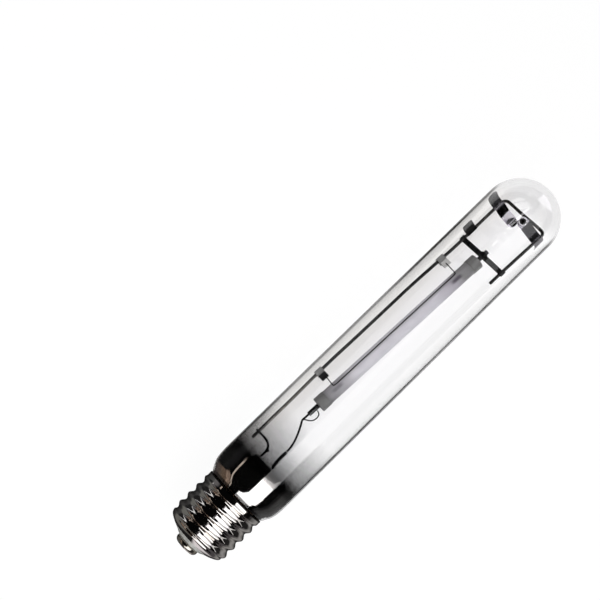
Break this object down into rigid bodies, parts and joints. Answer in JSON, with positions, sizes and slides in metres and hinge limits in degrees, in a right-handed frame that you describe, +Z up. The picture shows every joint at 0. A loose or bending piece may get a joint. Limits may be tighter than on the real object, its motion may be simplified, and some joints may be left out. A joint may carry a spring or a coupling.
{
  "type": "grow lamp",
  "caption": "Clear tubular high-pressure sodium grow lamp: screw cap, wire-framed ceramic arc tube, getter strips in the dome and a swinging starting aid.",
  "frame": {"origin": "centre of the cap's centre contact, on its outer face", "axes": "+X along the lamp's axis from the cap to the dome; +Z up, at right angles to the plane of the wire frame; +Y towards the frame's long leg"},
  "size_m": [0.285, 0.046, 0.046],
  "materials": {
    "glass": "clear polished glass",
    "film": "evaporated getter mirror, dark where it is thick",
    "nickel_brass": "bright nickel plate on brass",
    "vitrite": "dark opaque glass insulator",
    "contact_metal": "nickel-plated brass, slightly tarnished",
    "solder": "dull tin solder",
    "cement": "baked capping cement",
    "lead_wire": "drawn nickel-iron wire, dulled by the furnace",
    "frame_wire": "drawn nickel-plated steel wire",
    "strip_steel": "rolled strip with dull mill faces",
    "spring_steel": "rolled spring strip, heat-tinted near the getters",
    "getter": "black fired getter",
    "alumina": "translucent sintered alumina",
    "niobium": "drawn niobium",
    "heat_shield": "thin matt metal foil",
    "tungsten": "sintered tungsten",
    "amalgam": "sodium and mercury drop",
    "bimetal": "dark oxidised bimetal strip"
  },
  "bodies": {
    "lamp": {"outer_bulb": "glass", "getter_film": "film", "screw_shell": "nickel_brass", "cap_insulator": "vitrite", "centre_contact": "contact_metal", "contact_solder": "solder", "side_solder": "solder", "capping_cement": "cement", "stem": "glass", "exhaust_tube": "glass", "centre_lead_wire": "lead_wire", "side_lead_wire": "lead_wire", "frame_lead_stub": "lead_wire", "frame_connector": "lead_wire", "arc_lead": "lead_wire", "arc_support_rod": "lead_wire", "expansion_loop": "lead_wire", "frame_rod": "frame_wire", "crossbar": "strip_steel", "crossbar_clamp": "strip_steel", "dome_spring": "spring_steel", "dome_strip_left": "spring_steel", "dome_strip_right": "spring_steel", "getter_ring_left": "getter", "getter_ring_right": "getter"},
    "arc_tube": {"arc_tube": "alumina", "lower_plug": "alumina", "upper_plug": "alumina", "lower_niobium_tube": "niobium", "upper_niobium_tube": "niobium", "lower_heat_shield": "heat_shield", "upper_heat_shield": "heat_shield", "lower_electrode": "tungsten", "upper_electrode": "tungsten", "sodium_amalgam": "amalgam"},
    "starting_aid": {"starting_aid_wire": "lead_wire", "lower_aid_clip": "strip_steel", "upper_aid_clip": "strip_steel", "lower_bimetal": "bimetal", "upper_bimetal": "bimetal"}
  },
  "joints": [
    {"name": "arc_tube_growth", "type": "slide", "parent": "lamp", "child": "arc_tube", "axis": [-0.9994, 0.0354, 0], "range_m": [0, 0.001]},
    {"name": "starting_aid_swing", "type": "hinge", "parent": "lamp", "child": "starting_aid", "pos_m": [0.119, 0.017, 0], "axis": [-0.9997, 0.0256, 0], "range_deg": [0, 18], "stiffness_Nm_per_rad": 0.01}
  ]
}
